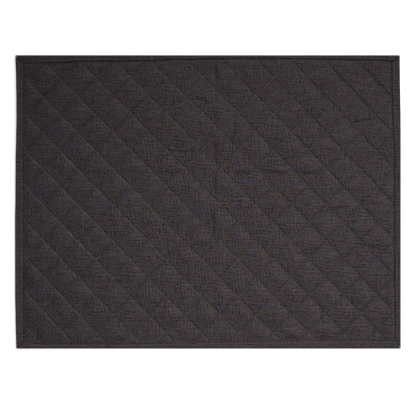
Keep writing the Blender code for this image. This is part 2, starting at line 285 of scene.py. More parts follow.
def quilt_place(x, y):
    """Counts of falling and rising rows at each point: whole numbers lie on the rows."""
    falling = math.sin(QUILT_ANGLE) * x + math.cos(QUILT_ANGLE) * y + slip(0, x, y)
    rising = math.sin(QUILT_ANGLE) * x - math.cos(QUILT_ANGLE) * y + slip(1, x, y)
    return falling / QUILT_PITCH, rising / QUILT_PITCH


def quilt_point(falling, rising):
    """The points with these counts, found by stepping towards them."""
    x = np.zeros(np.broadcast(falling, rising).shape)
    y = np.zeros_like(x)
    for _ in range(16):
        here = quilt_place(x, y)
        miss_falling = (falling - here[0]) * QUILT_PITCH
        miss_rising = (rising - here[1]) * QUILT_PITCH
        x = x + (miss_falling + miss_rising) / (2 * math.sin(QUILT_ANGLE))
        y = y + (miss_falling - miss_rising) / (2 * math.cos(QUILT_ANGLE))
        x = np.clip(x, -ROWS_REACH_X, ROWS_REACH_X)
        y = np.clip(y, -ROWS_REACH_Y, ROWS_REACH_Y)
    return x, y


def chances(seed, size):
    """A function that reads a table of random numbers between -1 and 1, repeated without end."""
    table = np.random.default_rng(seed).uniform(-1.0, 1.0, (size, size))
    return lambda i, j: table[i % size, j % size]


def noise(x, y, cell_x, cell_y, seed):
    """Smooth random waves between -1 and 1, of about this size."""
    chance = chances(seed, 256)
    across = x / cell_x + NOISE_ORIGIN
    along = y / cell_y + NOISE_ORIGIN
    i = np.floor(across).astype(int)
    j = np.floor(along).astype(int)
    u = eased(across - i)
    v = eased(along - j)
    near = chance(i, j) * (1 - u) + chance(i + 1, j) * u
    far = chance(i, j + 1) * (1 - u) + chance(i + 1, j + 1) * u
    return near * (1 - v) + far * v


def per_diamond(falling, rising, seed):
    """One random number between -1 and 1 for each diamond."""
    return chances(seed, 64)(np.floor(falling).astype(int), np.floor(rising).astype(int))


def row_distance(count):
    """Distance to the nearest stitched row, from the count of rows at each point."""
    return np.abs(count - np.round(count)) * QUILT_PITCH


def creases(x, y):
    """How far the creases lower each point, and how much painted shade darkens it along them."""
    depth = np.zeros_like(x)
    crease_shade = np.zeros_like(x)
    for (x0, y0), (x1, y1), deepest, half_width in CREASES:
        dx = x1 - x0
        dy = y1 - y0
        along = ((x - x0) * dx + (y - y0) * dy) / (dx * dx + dy * dy)
        aside = ((y - y0) * dx - (x - x0) * dy) / math.hypot(dx, dy)
        fade = eased(np.minimum(along, 1.0 - along) / CREASE_END)
        lowered = 0.5 - 0.5 * np.tanh(aside / half_width)
        depth = depth + CREASE_DEPTH * deepest * fade * lowered * np.exp(-np.abs(aside) / CREASE_RUN)
        crease_shade = np.maximum(crease_shade, fade * np.exp(-((aside / half_width) ** 2)))
    return depth, CREASE_SHADE * crease_shade


def across_mat(x, values):
    """A value that changes through these, evenly spaced, from the mat's left end to its right end."""
    place = np.clip(0.5 + x / LENGTH, 0.0, 1.0) * (len(values) - 1)
    step = np.minimum(np.floor(place).astype(int), len(values) - 2)
    table = np.array(values)
    return table[step] + (table[step + 1] - table[step]) * eased(place - step)


def to_front_right(x, y):
    """0 at the back left corner of the mat, 1 at the front right one."""
    return eased(0.5 + x / LENGTH * 0.5 - y / WIDTH * 0.5)


def over_mat(x, y, table):
    """A value read from a table whose lines hold at the mat's back, midway and in front."""
    back, midway, front = (across_mat(x, row) for row in table)
    towards = np.clip(2.0 * y / WIDTH, -1.0, 1.0)
    return midway + (back - midway) * eased(towards) + (front - midway) * eased(-towards)


def leaning_puff(count, x):
    """Height of a puff between falling rows: 0 on a row, 1 at its crest."""
    share = count - np.floor(count)
    crest = across_mat(x, CREST)
    up = 1.0 - (1.0 - np.clip(share / crest, 0.0, 1.0)) ** across_mat(x, RISE_POWER)
    to_row = np.clip((1.0 - share) / (1.0 - crest), 0.0, 1.0)
    sharp = 1.0 - (1.0 - to_row) ** across_mat(x, DROP_POWER)
    down = sharp + (eased(to_row) - sharp) * across_mat(x, DROP_SOFTNESS)
    return np.where(share < crest, up, down)


def even_puff(count, x, y):
    """Height of a puff between rising rows: 0 on a row, 1 half way."""
    share = count - np.floor(count)
    run = over_mat(x, y, RISING_RUN)
    middle = (1.0 - np.exp(-0.5 / run)) ** 2
    return (1.0 - np.exp(-share / run)) * (1.0 - np.exp(-(1.0 - share) / run)) / middle


def dents(falling, rising, x):
    """How far the thread itself draws the cloth down."""
    total = 0.0
    for count, depth in ((falling, FALLING_DENT), (rising, RISING_DENT)):
        distance = row_distance(count) / DENT_WIDTH
        total = total + across_mat(x, depth) * np.exp(-(distance**2))
    return total


def puckers(falling, rising):
    """Small gathers that start at the stitches and die away from them."""
    total = 0.0
    for across, along, seed in ((falling, rising, 61), (rising, falling, 64)):
        distance = row_distance(across) / PUCKER_REACH
        waves = noise(along * QUILT_PITCH, np.floor(across), PUCKER_PITCH, 1.0, seed)
        total = total + waves * distance * np.exp(1.0 - distance)
    return PUCKER_HEIGHT * total


def top_height(x, y):
    """Height of the mat's upper face."""
    falling, rising = quilt_place(x, y)
    dome = leaning_puff(falling, x) * even_puff(rising, x, y)
    puff = over_mat(x, y, PUFF_HEIGHT)
    on_row = (PUFF_TOP + STITCH_TOP - puff) / 2
    lean = per_diamond(falling, rising, 5) * (falling - np.floor(falling) - 0.5)
    lean = lean + per_diamond(falling, rising, 6) * (rising - np.floor(rising) - 0.5)
    wrinkles = 0.0
    for height, size_x, size_y, seed in WRINKLES:
        wrinkles = wrinkles + across_mat(x, height) * noise(x, y, size_x, size_y, seed)
    height = puff * (1.0 + PUFF_VARIES * per_diamond(falling, rising, 3)) * (1.0 + PUFF_TILT * lean)
    quilted = on_row + dome * height + np.sqrt(dome) * (wrinkles - creases(x, y)[0])
    quilted = quilted + puckers(falling, rising) - dents(falling, rising, x)
    return RIM_TOP + (quilted - RIM_TOP) * eased(inside(x, y, 2) / RIM_RUN_TOP)


def under_height(x, y):
    """Height of the mat's under face: flat, with a shallow valley at each row."""
    nearest = np.minimum.reduce([row_distance(count) for count in quilt_place(x, y)])
    valley = STITCH_UNDER * eased(1.0 - nearest / QUILT_PITCH / UNDER_VALLEY)
    past_binding = inside(x, y, 1) - BINDING_UNDER - CLEARANCE
    return RIM_UNDER + (valley - RIM_UNDER) * eased(past_binding / RIM_RUN_UNDER)


# ---- the quilted cloth -------------------------------------------------------------------------
AXES = np.eye(3)
ON_RIM = 1e-6  # how near the sheet's side a corner counts as on it


def corners(grid):
    """The four corners of every cell of a grid, in order round it."""
    return grid[:-1, :-1], grid[1:, :-1], grid[1:, 1:], grid[:-1, 1:]


def sheet_sides(low, high):
    """Each side of a rectangle: its axis, which way it faces, and its place."""
    return (0, -1, low[0]), (0, 1, high[0]), (1, -1, low[1]), (1, 1, high[1])


def cut(mesh, place, normal, faces=None, **options):
    """Cut these faces, or the whole sheet, by an upright plane, and return those that this leaves."""
    if faces is None:
        geom = mesh.verts[:] + mesh.edges[:] + mesh.faces[:]
    else:
        geom = list({item for face in faces for item in (face, *face.edges, *face.verts)})
    done = bmesh.ops.bisect_plane(mesh, geom=geom, dist=ON_RIM, plane_co=place, plane_no=normal, **options)
    return [item for item in done["geom"] if isinstance(item, bmesh.types.BMFace)]


def pattern_sheet(steps, low, high):
    """A flat sheet whose cells follow the quilting, trimmed to a rectangle."""
    across = [*steps, 0.5] + [1.0 - step for step in steps[:0:-1]]
    counts = np.array([whole + step for whole in range(-ROWS, ROWS) for step in across])
    falling, rising = np.meshgrid(counts, counts, indexing="ij")
    x, y = quilt_point(falling, rising)
    in_view = (x > low[0]) & (x < high[0]) & (y > low[1]) & (y < high[1])
    cell = np.logical_or.reduce(corners(in_view))
    number = np.arange(x.size).reshape(x.shape)
    faces = np.stack([corner[cell] for corner in corners(number)], axis=1)
    used, faces = np.unique(faces, return_inverse=True)
    points = np.stack([x.ravel()[used], y.ravel()[used], np.zeros(len(used))], axis=1)
    data = bpy.data.meshes.new("pattern")
    data.from_pydata(points.tolist(), [], faces.reshape(-1, 4).tolist())
    mesh = bmesh.new()
    mesh.from_mesh(data)
    bpy.data.meshes.remove(data)
    for axis, sign, limit in sheet_sides(low, high):
        cut(mesh, limit * AXES[axis], sign * AXES[axis], clear_outer=True)
    bmesh.ops.recalc_face_normals(mesh, faces=mesh.faces[:])
    return mesh


def trim_lines(mesh, low, high, gap, depth):
    """Extra cuts beside the binding, so that the cloth can dip smoothly under it."""
    for axis, sign, limit in sheet_sides(low, high):
        for i in range(1, int(depth / gap) + 1):
            place = limit - sign * gap * i
            near = [
                face
                for face in mesh.faces
                if abs(face.calc_center_median()[axis] - place) < CUT_REACH
            ]
            cut(mesh, place * AXES[axis], AXES[axis], near)


def crease_lines(mesh):
    """Extra cuts along each crease, so that it keeps its shape."""
    for (x0, y0), (x1, y1), _, half_width in CREASES:
        length = math.hypot(x1 - x0, y1 - y0)
        way = ((x1 - x0) / length, (y1 - y0) / length)
        near = []
        for face in mesh.faces:
            corner = face.verts[0].co
            along = (corner.x - x0) * way[0] + (corner.y - y0) * way[1]
            aside = (corner.y - y0) * way[0] - (corner.x - x0) * way[1]
            beside = abs(aside) < 2.0 * half_width + CUT_MARGIN
            if beside and -CUT_MARGIN < along < length + CUT_MARGIN:
                near.append(face)
        for step in CREASE_CUTS:
            place = (x0 - way[1] * step * half_width, y0 + way[0] * step * half_width, 0.0)
            near = cut(mesh, place, (-way[1], way[0], 0.0), near)


def rim_of(mesh, low, high):
    """The sheet's outer corners in order round the rectangle, with how far round each lies."""
    wide = high[0] - low[0]
    deep = high[1] - low[1]
    rows = []
    for vert in mesh.verts:
        if not vert.is_boundary:
            continue
        x, y = vert.co.x, vert.co.y
        if abs(y - low[1]) < ON_RIM:
            rows.append((x - low[0], vert))
        elif abs(x - high[0]) < ON_RIM:
            rows.append((wide + y - low[1], vert))
        elif abs(y - high[1]) < ON_RIM:
            rows.append((wide + deep + high[0] - x, vert))
        else:
            rows.append((2 * wide + deep + high[1] - y, vert))
    return sorted(rows, key=lambda row: row[0])


def close_rim(mesh, upper, lower, turn):
    """The thin wall between two sheets, from corner to corner of either."""
    upper = [*upper, (upper[0][0] + turn, upper[0][1])]
    lower = [*lower, (lower[0][0] + turn, lower[0][1])]
    up = 0
    down = 0
    while up < len(upper) - 1 or down < len(lower) - 1:
        here = (upper[up][1], lower[down][1])
        at_end = down == len(lower) - 1
        if at_end or (up < len(upper) - 1 and upper[up + 1][0] <= lower[down + 1][0]):
            up += 1
            mesh.faces.new((*here, upper[up][1]))
        else:
            down += 1
            mesh.faces.new((*here, lower[down][1]))


def plan(verts):
    """Where these corners lie, seen from above."""
    return np.array([vert.co[:2] for vert in verts]).T


def set_heights(mesh, height):
    """Lift every corner to the height at its place."""
    for vert, z in zip(mesh.verts, height(*plan(mesh.verts))):
        vert.co.z = z


def finished(mesh, name):
    """The mesh as smoothly shaded data, its faces all turned outwards."""
    bmesh.ops.recalc_face_normals(mesh, faces=mesh.faces[:])
    data = bpy.data.meshes.new(name)
    mesh.to_mesh(data)
    mesh.free()
    data.shade_smooth()
    return data


def add_attribute(data, name, values):
    """Keep a number for every corner, for the materials to read."""
    data.attributes.new(name, "FLOAT", "POINT").data.foreach_set("value", np.asarray(values, float))


def cloth_mesh():
    """The quilted cloth as one closed mesh: its upper face, its under face and a thin rim."""
    left_fold, right_fold = (max(row[1] for row in SIDE_TABLES[side]) for side in ("left", "right"))
    left = LENGTH / 2 - left_fold - FOLD_WALL - CLEARANCE
    right = LENGTH / 2 - right_fold - FOLD_WALL - CLEARANCE
    low = (-left, FOLD_WALL + CLEARANCE - WIDTH / 2)
    high = (right, WIDTH / 2 - FOLD_WALL - CLEARANCE)
    top = pattern_sheet(FINE_STEPS, low, high)
    trim_lines(top, low, high, gap=0.0023, depth=0.0140)
    crease_lines(top)
    set_heights(top, top_height)
    under = pattern_sheet(UNDER_STEPS, low, high)
    trim_lines(under, low, high, gap=0.004, depth=0.016)
    set_heights(under, under_height)
    bmesh.ops.reverse_faces(under, faces=under.faces[:])
    spare = bpy.data.meshes.new("spare")
    under.to_mesh(spare)
    under.free()
    first = len(top.verts)
    top.from_mesh(spare)
    bpy.data.meshes.remove(spare)
    top.verts.index_update()
    rim = rim_of(top, low, high)
    upper = [row for row in rim if row[1].index < first]
    lower = [row for row in rim if row[1].index >= first]
    close_rim(top, upper, lower, 2 * (high[0] - low[0]) + 2 * (high[1] - low[1]))
    return finished(top, "quilted_cloth")


def painted_shade(x, y):
    """Painted shade where the rows, the creases and the binding pull the cloth in, and along the left
    strip.
    """
    shade = creases(x, y)[1]
    for count, (beyond, pair, width, depth) in zip(quilt_place(x, y), ROW_SHADE):
        distance = row_distance(count - across_mat(x, beyond) / QUILT_PITCH)
        distance = (distance - across_mat(x, pair)) / across_mat(x, width)
        shade = np.maximum(shade, over_mat(x, y, depth) * np.exp(-(distance**2)))
    past_seam = np.maximum(inside(x, y, 2), 0.0) / across_mat(x, SEAM_SHADE_WIDTH)
    shade = np.maximum(shade, across_mat(x, SEAM_SHADE) * np.exp(-(past_seam**2)))
    patches = eased(0.5 + 0.8 * noise(x, y, *PULLED_PATCH, 45))
    pucker_shadow = ramp(x, *PULLED_X) * ramp(y, *PULLED_Y) * patches
    return np.maximum(shade, PULLED_SHADE * pucker_shadow)


def build_cloth():
    """The quilted cloth, with the numbers that its material reads."""
    data = cloth_mesh()
    x, y = plan(data.vertices)
    falling, rising = quilt_place(x, y)
    middle = spot(x, y, MIDDLE)
    front_right = spot(x, y, FRONT_RIGHT)
    # The valley attribute carries painted shade, and here also painted light over the right end
    fade = FRONT_LEFT_PAINTED_SHADE * spot(x, y, FRONT_LEFT) - RIGHT_END_PAINTED_LIGHT * spot(x, y, RIGHT_END)
    add_attribute(data, "valley", 1.0 - (1.0 - painted_shade(x, y)) * (1.0 - fade))
    cooler = sum(much * ramp(x, start, full) for much, start, full in COOLER_ENDS)
    add_attribute(data, "warmth", WARMTH - cooler)
    add_attribute(data, "shimmer", middle)
    bars = BARS_PLAINER * np.maximum(middle, spot(x, y, FRONT_MIDDLE)) - BARS_FAINTER * front_right
    add_attribute(data, "bars", CHECK_PLAIN + bars)
    streaks = STREAKS_PLAINER * np.maximum(middle, front_right)
    add_attribute(data, "streaks", CHECK_PLAIN + streaks)
    add_attribute(data, "bow", np.sin(math.pi * falling) * np.sin(math.pi * rising))
    return finish_piece(data, cloth_material("charcoal_cloth"))


# ---- thread ------------------------------------------------------------------------------------
STITCH_PITCH = 0.0030
STITCH_GAP = 0.0006
THREAD_RADIUS = 0.00022
STITCH_TURN = math.radians(5.0)  # how much one stitch is turned from the next
STITCH_VARIES = 0.08  # and how much longer or shorter it is
# One stitch, end to end: place along it, share of the thread's radius, how far it dips
STITCH_RINGS = ((-0.5, 0.35, -0.00022), (-0.24, 1.0, 0.0), (0.24, 1.0, 0.0), (0.5, 0.35, -0.00022))
STITCH_SIDES = 6
THREAD_LIES = 0.4  # how far above the cloth its middle is, in radii, and how much that varies
THREAD_VARIES = 0.9
THREAD_VARIES_RUN = 0.025
EVEN_THREAD_LIES = 0.3  # the same beneath the mat and on the binding, where it doesn't vary
UNDER_THREAD_RADIUS = 0.8 * THREAD_RADIUS
ROW_POINTS = 20  # how closely a row is followed from diamond to diamond
ROW_FEWEST = 8  # a row with no more points than this has no stitches
TOP_MARGIN = 0.0012  # how far from the binding the rows of stitches end
UNDER_MARGIN = 0.0080
# How pale the thread is, 0 to 1, with painted highlights where rows lie across the light. Each line: by
# how much, how far its boundary slants across the mat, and the places where it starts and where it is full.
GLINT_FALLING = ((0.55, -0.8, 0.02, -0.06),)
GLINT_RISING = ((0.24, 0.0, -0.10, -0.16), (0.10, 0.5, 0.10, 0.18))
GLINT_BAND = (0.27, 0.2, 0.1275, 0.0425)  # the same for the band across the middle, from its own middle
GLINT_BAND_MIDDLE = 0.05
WORN_ANYWHERE = 0.28
GLINT_LESS_IN_FRONT = 0.12
GLINT_CROSSING = (0.35, 0.16, 0.01)  # painted highlight where rows cross: by how much, from where, in full where
CROSSING_REACH = 0.0022
WORN_PATCHES = ((0.14, 0.024, 91), (0.20, 0.006, 93))  # how uneven it is, size of a patch, seed
WORN_TOPSTITCH = 0.4


def along_line(x, y, z):
    """Middles and directions of the stitches along one line of points."""
    run = np.concatenate([[0.0], np.cumsum(np.hypot(np.diff(x), np.diff(y)))])
    step = STITCH_PITCH / 4
    places = np.arange(STITCH_PITCH / 2, run[-1] - step, STITCH_PITCH)
    middles = np.stack([np.interp(places, run, values) for values in (x, y, z)], axis=1)
    ahead = np.stack([np.interp(places + step, run, values) for values in (x, y)], axis=1)
    way = ahead - middles[:, :2]
    return middles, way / np.linalg.norm(way, axis=1, keepdims=True)


def thread_mesh(name, lines, over, radius=THREAD_RADIUS):
    """Every stitch of these lines as one mesh. over is 1 on top of the cloth and -1 beneath."""
    middles, ways, worn_and_lit = (np.concatenate(parts) for parts in zip(*lines))
    wobble = np.random.default_rng(21).uniform(-1.0, 1.0, (len(middles), 3))
    turn = STITCH_TURN * wobble[:, 0]
    way_x = ways[:, 0] * np.cos(turn) - ways[:, 1] * np.sin(turn)
    way_y = ways[:, 0] * np.sin(turn) + ways[:, 1] * np.cos(turn)
    length = (STITCH_PITCH - STITCH_GAP) * (1.0 + STITCH_VARIES * wobble[:, 1])
    shape = []
    for place, share, dip in STITCH_RINGS:
        for i in range(STITCH_SIDES):
            angle = 2 * math.pi * i / STITCH_SIDES
            shape.append((place, radius * share * math.cos(angle), radius * share * math.sin(angle) + dip))
    shape = np.array(shape)
    along = shape[None, :, 0] * length[:, None]
    points = np.empty((len(middles), len(shape), 3))
    points[:, :, 0] = middles[:, None, 0] + way_x[:, None] * along - way_y[:, None] * shape[None, :, 1]
    points[:, :, 1] = middles[:, None, 1] + way_y[:, None] * along + way_x[:, None] * shape[None, :, 1]
    points[:, :, 2] = middles[:, None, 2] + over * shape[None, :, 2]
    faces = []
    for ring in range(len(STITCH_RINGS) - 1):
        for i in range(STITCH_SIDES):
            a = ring * STITCH_SIDES + i
            b = ring * STITCH_SIDES + (i + 1) % STITCH_SIDES
            faces.append((a, b, b + STITCH_SIDES, a + STITCH_SIDES)[:: -over])
    ends = (tuple(range(STITCH_SIDES)), tuple(range(len(shape) - STITCH_SIDES, len(shape))))
    faces += [ends[0][:: over], ends[1][:: -over]]
    starts = range(0, len(middles) * len(shape), len(shape))
    all_faces = [[start + i for i in face] for start in starts for face in faces]
    data = bpy.data.meshes.new(name)
    data.from_pydata(points.reshape(-1, 3).tolist(), [], all_faces)
    data.shade_smooth()
    add_attribute(data, "worn_and_lit", np.repeat(worn_and_lit, len(shape)))
    return data


def wear_and_glint(family, x, y):
    """How pale the thread is: 0 dark, 1 pale. Painted highlight makes the falling rows pale at the back
    left, the rising rows in a band across the middle, and both where they cross; patches of wear vary it."""
    share = np.zeros_like(x)
    if family == 1:
        much, slant, start, full = GLINT_BAND
        band = much * ramp(np.abs(x + slant * y - GLINT_BAND_MIDDLE), start, full)
        share = WORN_ANYWHERE + band - GLINT_LESS_IN_FRONT * to_front_right(x, y)
    for much, slant, start, full in (GLINT_FALLING, GLINT_RISING)[family]:
        share = share + much * ramp(x + slant * y, start, full)
    much, start, full = GLINT_CROSSING
    crossing = row_distance(quilt_place(x, y)[1 - family]) / CROSSING_REACH
    share = share + much * np.exp(-(crossing**2)) * ramp(x, start, full)
    for much, size, seed in WORN_PATCHES:
        share = share + much * noise(x, y, size, size, seed + family)
    return np.clip(share, 0.0, 1.0)


def quilting_lines(height, margin):
    """The stitches of every row, of both families."""
    lines = []
    run = np.linspace(-ROWS, ROWS, 2 * ROWS * ROW_POINTS)
    for family in (0, 1):
        for row in range(-ROWS, ROWS + 1):
            counts = (np.full_like(run, row), run)
            x, y = quilt_point(*(counts if family == 0 else counts[::-1]))
            kept = inside(x, y, 2) > margin
            if kept.sum() > ROW_FEWEST:
                middles, ways = along_line(x[kept], y[kept], height(x[kept], y[kept]))
                lines.append((middles, ways, wear_and_glint(family, middles[:, 0], middles[:, 1])))
    return lines


def top_thread_height(x, y):
    """The thread lies more or less deep in the cloth from place to place."""
    uneven = noise(x, y, THREAD_VARIES_RUN, THREAD_VARIES_RUN, 81)
    return top_height(x, y) + THREAD_RADIUS * (THREAD_LIES + THREAD_VARIES * uneven)


def under_thread_height(x, y):
    """Beneath, it is drawn a little way out of the shallow valley."""
    return under_height(x, y) - EVEN_THREAD_LIES * THREAD_RADIUS


def build_thread(material):
    """The quilting's stitches, above and below the cloth."""
    lines = quilting_lines(top_thread_height, TOP_MARGIN)
    top = thread_mesh("quilting_thread", lines, 1)
    lines = quilting_lines(under_thread_height, UNDER_MARGIN)
    under = thread_mesh("under_thread", lines, -1, UNDER_THREAD_RADIUS)
    return [finish_piece(data, material) for data in (top, under)]


# ---- binding -----------------------------------------------------------------------------------
STRIP_STATIONS = 260
TOPSTITCH_IN = 0.0013  # from the strip's inner edge
TOPSTITCH_END = 0.0095  # from the mat's corners
TOPSTITCH_DENT = 0.00022
TOPSTITCH_DENT_WIDTH = 0.0006
TROUGH = 0.00030  # depth of the hollow along the strip's middle
TROUGH_PLACE = 0.52  # a share of the strip's width
TROUGH_WIDTH = 0.13
TROUGH_NEEDS = 0.006  # width of a strip that has room for it
EDGE_ROUND = 0.0009
EDGE_DROP = 0.00055
EDGE_WAVER = 0.00018
EDGE_WAVER_RUN = 0.009
EDGE_STEADY = 12  # the edge wavers less over one part in this many of the side, at each end
LUMPS = ((0.00012, 0.0045, 0.003), (0.00016, 0.017, 0.006))  # height, length along and across
# Painted shade along the strip's inner edge and along its outer fold
EDGE_SHADE = 0.15
EDGE_SHADE_WIDTH = 0.0007
FOLD_SHADE = {"front": 0.42, "right": 0.0, "back": 0.42, "left": 0.10}
FOLD_SHADE_WIDTH = 0.0012
PALE_STRIP = {"front": 0.0, "right": 0.0, "back": 0.0, "left": 0.16}  # how much paler at its back end
PALE_STRIP_Y = (-0.02, 0.08)
STRIP_BARS = 0.6
STRIP_STREAKS = {"front": 0.6, "right": 1.3, "back": 0.6, "left": 0.6}
UNDER_EDGE_LIFT = 0.00012
UNDER_RUNS = (0.0088, 0.0080, 0.0072, 0.0060, 0.0045, 0.0030, 0.0018)  # in from the fold, beneath
FOLD_ANGLES = (15, 35, 55, 75)
TOP_SHARES = (0.0, 0.05, 0.12, 0.2, 0.3, 0.4, 0.5, 0.6, 0.7, 0.78, 0.85, 0.91, 0.96, 1.0)


def strip_top(fold, edge, far, place, seed):
    """Height of the strip's upper face: two soft rolls with a shallow trough between them."""
    near = np.clip((far - fold) / FOLD_ROUND, 0.0, 1.0)
    rise = BINDING_TOP / 2 * (1.0 + np.sqrt(1.0 - (1.0 - near) ** 2))
    width = edge - fold
    share = np.clip((far - fold) / width, 0.0, 1.0)
    trough = TROUGH * np.exp(-(((share - TROUGH_PLACE) / TROUGH_WIDTH) ** 2))
    trough = trough * eased(width / TROUGH_NEEDS - 0.4)
    last = np.clip((edge - far) / EDGE_ROUND, 0.0, 1.0)
    drop = EDGE_DROP * (1.0 - np.sqrt(1.0 - (1.0 - last) ** 2))
    from_stitch = (edge - far - TOPSTITCH_IN) / TOPSTITCH_DENT_WIDTH
    dent = TOPSTITCH_DENT * np.exp(-(from_stitch**2))
    lumps = 0.0
    for number, (height, long, deep) in enumerate(LUMPS):
        lumps = lumps + height * noise(place, far, long, deep, seed + number)
    return rise - trough - drop - dent + lumps * eased(share * 4.0) * last


def mitre_place(side, end, share, run):
    """How far along the side a point of the section reaches before the mitre at this end."""
    axis, sign = SIDES[side]
    neighbour = next(name for name, facing in SIDES.items() if facing == (1 - axis, end))
    corner = end * HALF[1 - axis]
    fold, edge = (inset(side, corner, column) for column in (1, 2))
    other_fold, other_edge = (inset(neighbour, sign * HALF[axis], column) for column in (1, 2))
    lean = (other_edge - other_fold) / (edge - fold)
    gap = CLEARANCE / 2 * math.sqrt(1.0 + lean * lean)
    far = fold + share * (edge - fold) + run
    return corner - end * (other_fold + gap) - end * (far - fold) * lean


def on_side(side, place, far):
    """The points at these places along a side, this far in from it."""
    axis, sign = SIDES[side]
    across = sign * (HALF[axis] - far)
    return (across, place) if axis == 0 else (place, across)


def strip_section():
    """The section's points in order: its share of the visible width, how much further in from the
    fold it lies, and its height, which is None for a point of the upper face."""
    points = [(0.0, BINDING_UNDER, UNDER_EDGE_LIFT)]
    points += [(0.0, run, 0.0) for run in UNDER_RUNS]
    for angle in FOLD_ANGLES:
        bend = math.radians(angle)
        height = BINDING_TOP / 2 * (1 - math.cos(bend))
        points.append((0.0, FOLD_ROUND * (1 - math.sin(bend)), height))
    points += [(share, 0.0, None) for share in TOP_SHARES]
    ceiling = RIM_TOP + CLEARANCE
    points += [(share, 0.0, ceiling) for share in (1.0, 0.75, 0.5)]
    points += [(0.0, FOLD_WALL, height) for height in (ceiling, FOLD_HALF_HEIGHT, BINDING_CLOTH)]
    points += [(0.0, run, BINDING_CLOTH) for run in (0.0045, 0.0080, BINDING_UNDER)]
    return points


def strip_mesh(side, seed):
    """One strip folded round the mat's edge: its section, carried from mitre to mitre."""
    shares = np.linspace(0.0, 1.0, STRIP_STATIONS)
    rings = []
    for share, run, height in strip_section():
        begin, end = (mitre_place(side, end, share, run) for end in (-1, 1))
        place = begin + (end - begin) * shares
        waver = EDGE_WAVER * noise(place, np.zeros_like(place), EDGE_WAVER_RUN, 1.0, seed + 7)
        waver = waver * eased(np.minimum(shares, 1 - shares) * EDGE_STEADY)
        fold = inset(side, place, 1)
        edge = inset(side, place, 2)
        far = fold + share * (edge - fold) + run + share * waver
        if height is None:
            z = strip_top(fold, edge + waver, far, place, seed)
        else:
            z = np.full_like(place, height)
        rings.append(np.stack([*on_side(side, place, far), z], axis=1))
    mesh = bmesh.new()
    sections = [[mesh.verts.new(point) for point in section] for section in np.stack(rings, axis=1)]
    for here, ahead in zip(sections, sections[1:]):
        for face in zip(here, here[1:] + here[:1], ahead[1:] + ahead[:1], ahead):
            mesh.faces.new(face)
    for end in (sections[0], sections[-1]):
        bmesh.ops.triangulate(mesh, faces=[mesh.faces.new(end)])
    return finished(mesh, f"folded_strip_{side}")


def build_strip(side, seed, material):
    """One strip, with the numbers that its material reads."""
    data = strip_mesh(side, seed)
    x, y = plan(data.vertices)
    to_fold = inside(x, y, 1) / FOLD_SHADE_WIDTH
    to_edge = inside(x, y, 2) / EDGE_SHADE_WIDTH
    # painted shade at the inner edge and the outer fold; the left strip is paler towards its back
    shade = EDGE_SHADE * np.exp(-(to_edge**2)) + FOLD_SHADE[side] * np.exp(-(to_fold**2))
    add_attribute(data, "valley", shade - PALE_STRIP[side] * ramp(y, *PALE_STRIP_Y))
    add_attribute(data, "bars", np.full_like(x, STRIP_BARS))
    add_attribute(data, "streaks", np.full_like(x, STRIP_STREAKS[side]))
    return finish_piece(data, material)


def strip_stitches(side, seed):
    """The row of topstitching near the strip's inner edge."""
    places = np.linspace(-1.0, 1.0, 400) * HALF[1 - SIDES[side][0]]
    edge = inset(side, places, 2)
    fold = inset(side, places, 1)
    far = edge - TOPSTITCH_IN
    z = strip_top(fold, edge, far, places, seed) + EVEN_THREAD_LIES * THREAD_RADIUS
    x, y = on_side(side, places, far)
    kept = np.abs(places) < places[-1] - TOPSTITCH_END
    middles, ways = along_line(x[kept], y[kept], z[kept])
    return middles, ways, np.full(len(middles), WORN_TOPSTITCH)


# ---- materials ---------------------------------------------------------------------------------
class Nodes:
    """Short calls that add and join shader nodes. An input is a plain value or a node's output."""

    def __init__(self, name):
        self.material = bpy.data.materials.new(name)
        self.material.use_nodes = True
        self.tree = self.material.node_tree
        self.shader = self.tree.nodes["Principled BSDF"]

    def fill(self, node, inputs):
        for key, value in inputs.items():
            if isinstance(value, bpy.types.NodeSocket):
                self.tree.links.new(value, node.inputs[key])
            else:
                node.inputs[key].default_value = value

    def add(self, kind, inputs, **settings):
        node = self.tree.nodes.new(kind)
        for key, value in settings.items():
            setattr(node, key, value)
        self.fill(node, inputs)
        return node

    def math(self, operation, first, second=0.0):
        return self.add("ShaderNodeMath", {0: first, 1: second}, operation=operation).outputs[0]

    def vector(self, operation, inputs):
        return self.add("ShaderNodeVectorMath", inputs, operation=operation).outputs["Vector"]

    def plus(self, first, second):
        return self.math("ADD", first, second)

    def less(self, first, second):
        return self.math("SUBTRACT", first, second)

    def times(self, first, second):
        return self.math("MULTIPLY", first, second)

    def clamped(self, value):
        return self.add("ShaderNodeClamp", {"Value": value}).outputs["Result"]

    def mix(self, fac, first, second):
        """first where fac is 0, second where it is 1."""
        return self.plus(first, self.times(fac, self.less(second, first)))

    def attribute(self, name):
        return self.add("ShaderNodeAttribute", {}, attribute_name=name).outputs["Fac"]

    def split(self, vector):
        return self.add("ShaderNodeSeparateXYZ", {"Vector": vector}).outputs

    def where(self):
        return self.add("ShaderNodeTexCoord", {}).outputs["Object"]

    def stretched(self, size, shift=0.0):
        """Places in units of these lengths. shift reads them at another height."""
        scale = [1 / length for length in size]
        inputs = {"Vector": self.where(), "Location": (0.0, 0.0, shift / size[2]), "Scale": scale}
        return self.add("ShaderNodeMapping", inputs).outputs["Vector"]

    def noise(self, vector, detail, rough, scale=1.0):
        inputs = {"Vector": vector, "Scale": scale, "Detail": detail, "Roughness": rough}
        return self.add("ShaderNodeTexNoise", inputs).outputs

    def tint(self, fac, colours):
        """A colour between these, evenly spaced as fac goes from 0 to 1."""
        node = self.add("ShaderNodeValToRGB", {"Fac": fac})
        elements = node.color_ramp.elements
        for i in range(1, len(colours) - 1):
            elements.new(i / (len(colours) - 1))
        for element, colour in zip(elements, colours):
            element.color = (*colour, 1.0)
        return node.outputs["Color"]

    def bump(self, height, strength, distance):
        inputs = {"Height": height, "Strength": strength, "Distance": distance}
        return self.add("ShaderNodeBump", inputs).outputs["Normal"]

    def finish(self, **inputs):
        """Give these to the shader's sockets of the same names."""
        self.fill(self.shader, {key.replace("_", " "): value for key, value in inputs.items()})
        return self.material


